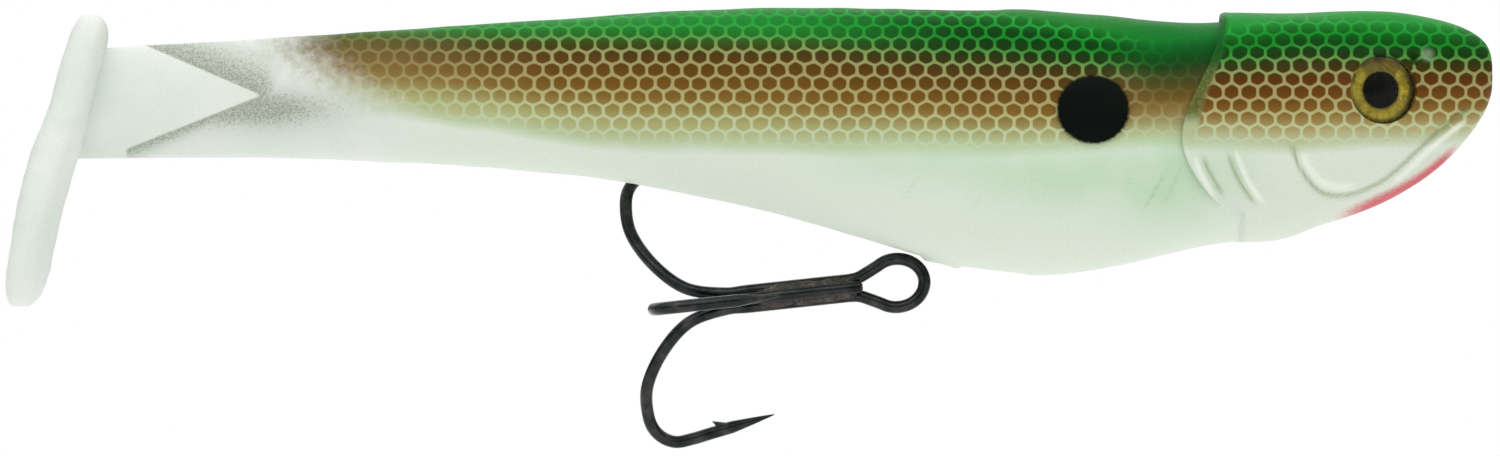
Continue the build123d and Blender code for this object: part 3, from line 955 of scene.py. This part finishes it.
def paint_on(thing, kind):
    """Store on the mesh what each of its points needs to know to be painted."""
    mesh = thing.data
    points = np.zeros(len(mesh.vertices) * 3)
    mesh.vertices.foreach_get("co", points)
    points = points.reshape(-1, 3) / MM
    x, z = points[:, 0], points[:, 2]
    green, white = (np.interp(x, BANDS[:, 0], BANDS[:, i]) for i in (1, 2))
    tone = ((z - white) / (green - white) + 0.6) / 2.4
    stem = step(-x, 52.0, 76.0)
    fresh = stem * step(tone, 0.64, 0.82)
    tone = tone - 0.045 * stem * step(tone, 0.1, 0.25)
    own = head_fields(x, z) if kind == "head" else body_fields(x, z, tone)
    fields = {**PLAIN, "tone": np.clip(tone, 0, 1), "fresh": fresh, **own}
    fields["net"] = own["net"] * (1 - step(tone, 0.95, 1.0)) * step(tone, 0.06, 0.17)
    for name, values in fields.items():
        layer = mesh.attributes.new(name, "FLOAT", "POINT")
        layer.data.foreach_set("value", np.broadcast_to(values, len(x)).astype(np.float32))
    # the film is laid on from the side, so its rows only half follow the turn of the back
    girth = girth_of(points, head_line if kind == "head" else body_line)
    rows = 0.7 * (z - NET_HEIGHT) + 0.3 * girth - (0.5 if kind == "head" else 0.0)
    side = np.where(points[:, 1] < 0, -1, 1)
    layer = mesh.attributes.new("paint", "FLOAT_VECTOR", "POINT")
    flat_film = np.column_stack([x, rows, side * 30])
    layer.data.foreach_set("vector", flat_film.astype(np.float32).ravel())


paint_on(head_skin, "head")
paint_on(body_skin, "body")
paint_on(tail_skin, "body")

# ---------------------------------------------------------------- materials
def colour(red, green, blue):
    """A colour given in screen values, as the shader wants it."""
    parts = []
    for value in (red, green, blue):
        c = value / 255
        parts.append(c / 12.92 if c <= 0.04045 else ((c + 0.055) / 1.055) ** 2.4)
    return (*parts, 1.0)


class Recipe:
    """The nodes of a material or a world, with short names for the usual steps."""

    def __init__(self, name, library=bpy.data.materials):
        self.home = library.new(name)
        self.home.use_nodes = True
        self.tree = self.home.node_tree
        self.tree.nodes.clear()

    def add(self, kind, inputs=None, **settings):
        node = self.tree.nodes.new("ShaderNode" + kind)
        for key, value in settings.items():
            setattr(node, key, value)
        for key, value in (inputs or {}).items():
            self.plug(node.inputs[key], value)
        return node

    def plug(self, socket, value):
        if isinstance(value, bpy.types.NodeSocket):
            self.tree.links.new(value, socket)
        else:
            socket.default_value = value

    def math(self, operation, *values):
        return self.add("Math", dict(enumerate(values)), operation=operation).outputs[0]

    def times(self, first, second):
        return self.math("MULTIPLY", first, second)

    def plus(self, first, second):
        return self.math("ADD", first, second)

    def swing(self, value, amount):
        """A noise that swings about zero, over this amount in all."""
        return self.times(self.math("SUBTRACT", value, 0.5), amount)

    def vector(self, operation, *values):
        """The node of a sum on vectors."""
        return self.add("VectorMath", dict(enumerate(values)), operation=operation)

    def mix(self, share, first, second, way="MIX"):
        """Two colours mixed. Each is another node's, or a screen colour."""
        inputs = {0: share}
        for slot, shade in ((6, first), (7, second)):
            inputs[slot] = colour(*shade) if isinstance(shade, tuple) else shade
        return self.add("Mix", inputs, data_type="RGBA", blend_type=way).outputs[2]

    def coat(self, share, shade, way="MIX"):
        """Lay one more colour over the base."""
        self.base = self.mix(share, self.base, shade, way)

    def masked(self, name, share):
        """An attribute, taken to this share."""
        return self.times(self.read(name), share)

    def blend(self, share, first, second):
        return self.add("Mix", {0: share, 2: first, 3: second}, data_type="FLOAT").outputs[0]

    def ease(self, value, start, stop, low=0.0, high=1.0):
        inputs = {"Value": value, 1: start, 2: stop, 3: low, 4: high}
        return self.add("MapRange", inputs, interpolation_type="SMOOTHSTEP").outputs[0]

    def grained(self, noise, low, high):
        """A value that follows a noise's middle range."""
        return self.ease(noise, 0.3, 0.7, low, high)

    def ramp(self, value, stops):
        """Colours along a value, from rows of (value, (red, green, blue))."""
        node = self.add("ValToRGB", {"Fac": value})
        band = node.color_ramp.elements
        while len(band) > 1:
            band.remove(band[-1])
        band[0].position, band[0].color = stops[0][0], colour(*stops[0][1])
        for position, shade in stops[1:]:
            band.new(position).color = colour(*shade)
        return node.outputs["Color"]

    def noise(self, where, scale, detail=2.0, roughness=0.5):
        inputs = {"Vector": where, "Scale": scale, "Detail": detail, "Roughness": roughness}
        return self.add("TexNoise", inputs).outputs[0]

    def read(self, name, output="Fac"):
        return self.add("Attribute", attribute_name=name).outputs[output]

    def place(self):
        """Where a point of a rigid piece is, in millimetres."""
        spot = self.add("TexCoord").outputs["Object"]
        return self.add("VectorMath", {0: spot, "Scale": 1 / MM}, operation="SCALE").outputs[0]

    def bump(self, height, millimetres):
        return self.add("Bump", {"Height": height, "Distance": millimetres * MM}).outputs[0]

    def output(self, shader, kind="OutputMaterial"):
        self.tree.links.new(shader.outputs[0], self.add(kind).inputs[0])
        return self.home

    def finish(self, **inputs):
        names = {key.replace("_", " "): value for key, value in inputs.items()}
        return self.output(self.add("BsdfPrincipled", names))


NET_PITCH = 1.78
NET_ROW = 1.38
LINE_EDGES = (0.23, 0.09)  # a line fades in between these distances from its middle


def net_lines(r, x, g):
    """1 on the lines of the hexagon net and 0 inside its rounded cells."""
    slope = math.sqrt(3) / 2
    distances = []
    for shift_x, shift_g in ((0.0, 0.0), (NET_PITCH / 2, NET_ROW)):
        sides = []
        for value, shift, size in ((x, shift_x, NET_PITCH), (g, shift_g, 2 * NET_ROW)):
            cell = r.math("FLOORED_MODULO", r.plus(value, shift), size)
            sides.append(r.math("ABSOLUTE", r.math("SUBTRACT", cell, size / 2)))
        u, v = sides[0], r.times(sides[1], NET_PITCH * slope / NET_ROW)
        slant = r.plus(r.times(u, 0.5), r.times(v, slope))
        straight = r.math("MAXIMUM", u, slant)
        rounded = r.times(r.math("SQRT", r.plus(r.times(u, u), r.times(v, v))), 0.97)
        distances.append(r.blend(0.42, straight, rounded))
    nearest = r.math("MINIMUM", *distances)
    return r.ease(nearest, *(NET_PITCH / 2 - edge for edge in LINE_EDGES))


# colours from the belly to the back, by tone
HEAD_CELLS = (
    (0.03, (221, 228, 213)),
    (0.1, (194, 200, 162)),
    (0.17, (181, 175, 128)),
    (0.235, (160, 142, 86)),
    (0.316, (134, 102, 46)),
    (0.398, (113, 76, 26)),
    (0.479, (99, 61, 19)),
    (0.561, (88, 52, 13)),
    (0.642, (56, 52, 11)),
    (0.723, (18, 56, 9)),
    (0.805, (8, 70, 12)),
    (0.886, (12, 96, 21)),
    (0.967, (18, 132, 40)),
)
BODY_BANDS = (  # tone, the cells, the net's lines
    (0.03, (222, 232, 217), (222, 231, 219)),
    (0.1, (188, 204, 162), (198, 213, 181)),
    (0.17, (173, 173, 116), (194, 206, 165)),
    (0.248, (150, 136, 76), (189, 193, 142)),
    (0.326, (130, 100, 44), (179, 174, 119)),
    (0.405, (114, 82, 30), (170, 160, 106)),
    (0.483, (99, 69, 22), (164, 153, 103)),
    (0.562, (84, 58, 15), (154, 151, 98)),
    (0.64, (58, 52, 11), (130, 150, 86)),
    (0.718, (26, 52, 9), (76, 140, 62)),
    (0.796, (9, 58, 10), (24, 130, 34)),
    (0.875, (6, 66, 13), (16, 136, 36)),
    (0.953, (10, 106, 22), (34, 152, 56)),
)
DUSK_BANDS = (
    (0.24, (188, 198, 150)),
    (0.36, (146, 124, 64)),
    (0.46, (106, 84, 32)),
    (0.58, (62, 64, 16)),
    (0.72, (6, 52, 12)),
    (0.84, (4, 84, 28)),
    (0.95, (10, 112, 40)),
)


def skin_material():
    r = Recipe("painted_soft_plastic")
    paint = r.read("paint", "Vector")
    tone = r.read("tone")
    split = r.add("SeparateXYZ", {0: paint})
    drift = r.add("TexNoise", {"Vector": paint, "Scale": 0.42, "Detail": 1.0})
    drift = r.add("SeparateXYZ", {0: drift.outputs["Color"]})
    x = r.math("MULTIPLY_ADD", drift.outputs[0], 0.55, split.outputs[0])
    g = r.math("MULTIPLY_ADD", drift.outputs[1], 0.45, split.outputs[1])
    fine = r.noise(paint, 2.6, 3.0, 0.6)
    grain = r.noise(paint, 7.0, 2.0, 0.6)
    cloud = r.noise(paint, 0.16, 2.0)

    lines = r.times(net_lines(r, x, g), r.ease(fine, 0.18, 0.42, 0.75, 1.0))
    tone = r.plus(tone, r.swing(cloud, 0.05))
    body_cells = r.ramp(tone, [(level, cell) for level, cell, line in BODY_BANDS])
    net_colour = r.ramp(tone, [(level, line) for level, cell, line in BODY_BANDS])
    cells = r.mix(r.read("head"), body_cells, r.ramp(tone, HEAD_CELLS))
    blurred = r.mix(0.30, cells, net_colour)
    netted = r.mix(lines, cells, net_colour)
    r.base = r.mix(r.read("net"), blurred, netted)
    # the green is brighter behind the deep body
    r.coat(r.masked("fresh", 0.45), (30, 172, 60))
    r.coat(r.masked("dusk", 0.72), r.ramp(tone, DUSK_BANDS))
    mint = r.times(r.read("mint"), r.ease(tone, 0.42, 0.18))
    mint = r.times(mint, r.ease(cloud, 0.2, 0.6, 0.6, 1.0))
    r.coat(r.times(mint, 0.85), (186, 216, 182))

    # red brushed along the throat, broken up at its edge
    throat = r.ease(r.plus(r.read("throat"), r.swing(fine, 0.5)), 0.12, 1.05)
    throat = r.times(throat, r.ease(r.read("throat"), 0.0, 0.12))
    r.coat(r.times(throat, 0.92), (206, 62, 80))

    # the glassy rim behind the gill line
    rim_shade = r.mix(r.grained(fine, 0.0, 1.0), (62, 84, 32), (104, 118, 62))
    rim_shade = r.mix(r.ease(tone, 0.36, 0.22), rim_shade, (180, 198, 156))
    rim_shade = r.mix(r.ease(tone, 0.62, 0.74), rim_shade, (24, 84, 28))
    r.coat(r.masked("rim", 0.75), rim_shade)

    # painted highlights along the raised folds, and painted shade along the sunken folds and the belly's creases
    fold_highlight_and_shade = r.read("fold_highlight_and_shade")
    pale = r.mix(r.ease(tone, 0.25, 0.6), (240, 246, 234), (196, 196, 140))
    r.coat(r.times(r.ease(fold_highlight_and_shade, 0.1, 1.0), 0.75), pale)
    r.coat(r.ease(fold_highlight_and_shade, -0.1, -1.0, 0.0, 0.55), (150, 168, 118))
    # a painted highlight on the bump beside the nostril, and painted shade in the nostril's pit
    r.coat(r.ease(r.read("nostril"), 0.15, 1.0, 0.0, 0.5), (150, 176, 140))
    r.coat(r.ease(r.read("nostril"), -0.1, -1.0, 0.0, 0.8), (14, 46, 16))

    # the black spot, sprayed through a round hole, with a thin haze round it
    spot = r.plus(r.read("spot"), r.swing(fine, 0.10))
    r.coat(r.times(r.ease(spot, 1.22, 1.0), 0.22), (60, 58, 30))
    black = r.mix(fine, (8, 11, 9), (17, 22, 18))
    r.coat(r.ease(spot, 1.06, 0.95), black)

    # the colours thin out in blotches towards the tail, over milky plastic
    milky = r.mix(r.grained(cloud, 0.0, 1.0), (223, 231, 223), (230, 235, 228))
    blotch = r.noise(paint, 0.9, 3.0, 0.6)
    ends = r.plus(r.plus(r.read("colours"), r.swing(blotch, 7.0)), r.swing(fine, 3.0))
    r.base = r.mix(r.ease(ends, -4.0, 7.5), milky, r.base)
    # dark grey specks round the bare wedge
    grey = r.read("grey")
    speck = r.plus(grain, r.swing(fine, 0.5))
    thick = r.math("SUBTRACT", 0.84, r.times(grey, 0.34))
    specks = r.ease(r.math("SUBTRACT", speck, thick), -0.09, 0.05)
    r.coat(r.times(grey, 0.62), (172, 178, 164))
    r.coat(r.times(specks, 0.62), (120, 126, 106))
    bare = r.plus(r.read("bare"), r.swing(grain, 0.35))
    r.coat(r.ease(bare, -0.10, 0.14), milky)

    # fine mottling all over, lighter with a shade above white and then darker
    r.coat(r.grained(fine, 0.0, 0.12), (272.2, 272.2, 270.1), "MULTIPLY")
    r.coat(r.grained(grain, 0.12, 0.0), (150, 150, 140), "MULTIPLY")

    raised = r.times(r.times(lines, r.read("net")), 0.6)
    height = r.plus(raised, r.times(fine, 0.8))
    height = r.plus(height, r.times(r.noise(paint, 1.1, 2.0), 1.2))
    return r.finish(
        Base_Color=r.base,
        Roughness=r.blend(r.read("rim"), r.ease(fine, 0.2, 0.8, 0.30, 0.46), 0.16),
        Normal=r.bump(height, 0.035),
        Subsurface_Weight=0.12,
        Subsurface_Radius=(1.0, 0.9, 0.6),
        Subsurface_Scale=0.8 * MM,
        Specular_IOR_Level=0.02,
        Coat_Weight=0.05,
        Coat_Roughness=0.14,
        Coat_IOR=1.4,
    )


def foil_material():
    """Gold foil: streaks out from the pupil, darker at the rim."""
    r = Recipe("gold_foil")
    # both foils lie alike on either side, so one recipe does for the two
    centre = tuple(abs(value) for value in middle_of("left_iris_foil"))
    place = r.vector("ABSOLUTE", r.place()).outputs[0]
    offset = r.vector("SUBTRACT", place, centre).outputs[0]
    radius = r.vector("LENGTH", offset).outputs["Value"]
    spoke = r.vector("NORMALIZE", offset).outputs[0]
    streak = r.noise(spoke, 3.2, 3.0, 0.6)
    grain = r.noise(place, 4.0, 2.0)
    golds = (
        (0.30, (150, 124, 26)),
        (0.45, (196, 174, 40)),
        (0.58, (220, 202, 66)),
        (0.72, (176, 132, 30)),
    )
    gold = r.ramp(streak, golds)
    gold = r.mix(r.ease(radius, 1.95, 2.25, 0.55, 0.0), gold, (70, 52, 14))
    gold = r.mix(r.ease(radius, 2.75, 3.3, 0.0, 0.8), gold, (88, 84, 26))
    return r.finish(
        Base_Color=gold,
        Metallic=0.35,
        Roughness=r.grained(grain, 0.26, 0.42),
        Normal=r.bump(r.plus(streak, r.times(grain, 0.4)), 0.25),
    )


def lens_material():
    """Clear resin, seen through apart from its gloss."""
    r = Recipe("clear_lens")
    mottle = r.noise(r.place(), 1.3, 2.0)
    clear = r.add("BsdfTransparent", {"Color": (0.97, 0.97, 0.93, 1.0)})
    shine = {"Roughness": r.grained(mottle, 0.02, 0.07), "Normal": r.bump(mottle, 0.03)}
    gloss = r.add("BsdfGlossy", {"Color": (1.0, 1.0, 1.0, 1.0), **shine})
    share = r.add("Fresnel", {"IOR": 1.2}).outputs[0]
    return r.output(r.add("MixShader", {0: share, 1: clear.outputs[0], 2: gloss.outputs[0]}))


def nickel_material():
    """Black nickel plate: dark, glossy, with drawn lines and rubbed spots."""
    r = Recipe("black_nickel")
    place = r.place()
    cloud = r.noise(place, 0.5, 3.0)
    drawn = r.add("Mapping", {"Vector": place, "Scale": (0.5, 4.0, 4.0)}).outputs[0]
    drawn = r.noise(drawn, 1.2, 3.0, 0.6)
    grit = r.noise(place, 6.0, 2.0)
    base = r.ramp(cloud, ((0.3, (34, 36, 38)), (0.55, (54, 56, 56)), (0.8, (84, 80, 74))))
    return r.finish(
        Base_Color=r.mix(r.ease(grit, 0.66, 0.78, 0.0, 0.35), base, (104, 100, 94)),
        Metallic=1.0,
        Roughness=r.ease(drawn, 0.25, 0.75, 0.14, 0.26),
        Normal=r.bump(r.plus(r.times(drawn, 0.7), r.times(grit, 0.3)), 0.012),
    )


def lumpy_material(name, noise, shades, roughness, bump, **more):
    """Colour, roughness and relief from one noise, given by its scale, detail and roughness."""
    r = Recipe(name)
    lumps = r.noise(r.place(), *noise)
    return r.finish(
        Base_Color=r.ramp(lumps, shades),
        Roughness=r.grained(lumps, *roughness),
        Normal=r.bump(lumps, bump),
        **more,
    )


def plastic_material(name, dark, light, rough, bump):
    r = Recipe(name)
    place = r.place()
    cloud = r.noise(place, 0.7, 2.0)
    grain = r.noise(place, 5.0, 2.0)
    return r.finish(
        Base_Color=r.mix(cloud, dark, light),
        Roughness=r.grained(grain, rough, rough + 0.14),
        Normal=r.bump(r.plus(cloud, r.times(grain, 0.4)), bump),
    )


def web_material():
    """Plain weave, threads 0.4 mm apart."""
    r = Recipe("woven_strip")
    place = r.place()
    split = r.add("SeparateXYZ", {0: place})
    turn = 2 * math.pi / 0.8
    warp, weft = (r.math("SINE", r.times(split.outputs[i], turn)) for i in (0, 2))
    weave = r.math("MULTIPLY_ADD", r.times(warp, weft), 0.5, 0.5)
    fuzz = r.noise(place, 3.0, 3.0)
    base = r.mix(weave, (178, 182, 172), (232, 234, 226))
    return r.finish(
        Base_Color=r.mix(r.ease(fuzz, 0.4, 0.7, 0.0, 0.35), base, (200, 196, 178)),
        Roughness=r.grained(fuzz, 0.7, 0.9),
        Normal=r.bump(r.plus(weave, fuzz), 0.12),
    )


def dress(thing, material):
    """Give a piece or a CAD node its material."""
    thing.data.materials.clear()
    thing.data.materials.append(material)


skin = skin_material()
for piece in (head_skin, body_skin, tail_skin):
    dress(piece, skin)
    soften(piece)

foil = foil_material()
lens = lens_material()
pupil = lumpy_material(
    "pupil_black",
    (3.0, 2.0),
    ((0.0, (3, 4, 5)), (1.0, (10, 10, 9))),
    (0.25, 0.4),
    0.01,
    Specular_IOR_Level=0.08,
)
nickel = nickel_material()
braze = lumpy_material(
    "plated_braze",
    (1.6, 3.0, 0.65),
    ((0.3, (46, 44, 44)), (0.6, (84, 78, 74)), (0.8, (128, 118, 108))),
    (0.45, 0.25),
    0.25,
    Metallic=1.0,
)
lead = lumpy_material(
    "cast_lead",
    (1.1, 4.0, 0.6),
    ((0.3, (66, 68, 72)), (0.55, (104, 106, 110)), (0.75, (140, 140, 140))),
    (0.62, 0.42),
    0.15,
    Metallic=0.6,
)
tube = plastic_material("slick_tube", (220, 222, 216), (236, 238, 232), 0.24, 0.03)
sleeve = plastic_material("hard_sleeve", (202, 206, 198), (224, 227, 220), 0.34, 0.05)
webbing = web_material()
for material, *names in (
    (foil, "left_iris_foil", "right_iris_foil"),
    (lens, "left_eye_lens", "right_eye_lens"),
    (pupil, "left_pupil", "right_pupil"),
    (tube, "line_tube"),
    (sleeve, "nose_sleeve", "belly_sleeve"),
    (lead, "head_weight", "keel_weight"),
    (webbing, "core_web_front", "core_web_rear"),
):
    for name in names:
        dress(nodes[name], material)

for piece, material, slot in (
    (double_wire, nickel, "black_nickel"),
    (third_wire, nickel, "black_nickel"),
    (braze_piece, braze, "braze"),
):
    dress(piece, material)

# ---------------------------------------------------------------- motion
for piece in (double_wire, third_wire, braze_piece):
    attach(piece, "hook")
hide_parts("treble_double_wire")
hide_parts("treble_third_wire")
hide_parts("treble_braze")
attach(head_skin, "front")
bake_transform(body_skin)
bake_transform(tail_skin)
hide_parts("head")
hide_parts("body_front", "body_rear")
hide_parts("boot_tail")

# ---------------------------------------------------------------- floor, light and camera
scene = bpy.context.scene
scene.view_settings.view_transform = "Standard"
scene.view_settings.look = "None"

low, high = cad_box
middle = (low + high) / 2
FLOOR_BELOW = 0.09
WALL_LIGHT = 0.26
CEILING_LIGHT = 1.25
floor_mesh = bpy.data.meshes.new("floor")
reach = 3.0
count = 64
rim = [
    (reach * math.cos(2 * math.pi * i / count), reach * math.sin(2 * math.pi * i / count), 0.0)
    for i in range(count)
]
floor_mesh.from_pydata(rim, [], [tuple(range(count))])
floor = bpy.data.objects.new("floor", floor_mesh)
floor.location = (middle.x, middle.y, low.z - FLOOR_BELOW)
scene.collection.objects.link(floor)
pale = Recipe("pale_floor")
cast = pale.noise(pale.place(), 0.02, 2.0)
greys = pale.mix(cast, (240, 240, 240), (246, 246, 246))
floor_mesh.materials.append(pale.finish(Base_Color=greys, Roughness=0.8))

# a white backdrop, with the light itself mostly from above: dark walls keep the colours deep
air = Recipe("studio", bpy.data.worlds)
sky = air.add("SeparateXYZ", {0: air.add("TexCoord").outputs["Generated"]})
glow = air.ease(sky.outputs[2], 0.05, 0.75, WALL_LIGHT, CEILING_LIGHT)
seen = air.add("LightPath").outputs["Is Camera Ray"]
backdrop = {"Color": (1.0, 1.0, 1.0, 1.0), "Strength": air.blend(seen, glow, 1.0)}
scene.world = air.output(air.add("Background", backdrop), "OutputWorld")


def soft_box(name, place, size, watts):
    """A square soft light that looks at the middle of the bait."""
    lamp = bpy.data.lights.new(name, "AREA")
    lamp.shape = "RECTANGLE"
    lamp.size, lamp.size_y = size
    lamp.energy = watts
    thing = bpy.data.objects.new(name, lamp)
    thing.location = middle + Vector(place)
    away = Vector(place).normalized()
    thing.rotation_mode = "QUATERNION"
    thing.rotation_quaternion = away.to_track_quat("Z", "Y")
    thing.visible_camera = False
    scene.collection.objects.link(thing)


soft_box("overhead", (-0.10, -0.45, 0.75), (0.9, 0.5), 1.2)
soft_box("front_left", (-0.75, -0.95, 0.30), (0.5, 0.7), 0.7)
soft_box("front_right", (0.80, -0.90, 0.20), (0.5, 0.7), 0.55)
soft_box("far_side", (0.0, 1.10, 0.60), (0.9, 0.6), 0.8)

FRAME_WIDTH = 0.1539  # what the frame takes in, at the bait
VIEW_CENTRE = Vector((-0.0761, 0.0, -0.0156))
DISTANCE = 1.6
camera_data = bpy.data.cameras.new("camera")
camera_data.lens = camera_data.sensor_width * DISTANCE / FRAME_WIDTH
camera_data.clip_start = 0.1
camera_data.clip_end = 20.0
camera = bpy.data.objects.new("camera", camera_data)
camera.location = VIEW_CENTRE + Vector((0, -DISTANCE, 0))
camera.rotation_euler = (math.radians(90), 0, 0)
scene.collection.objects.link(camera)
scene.camera = camera
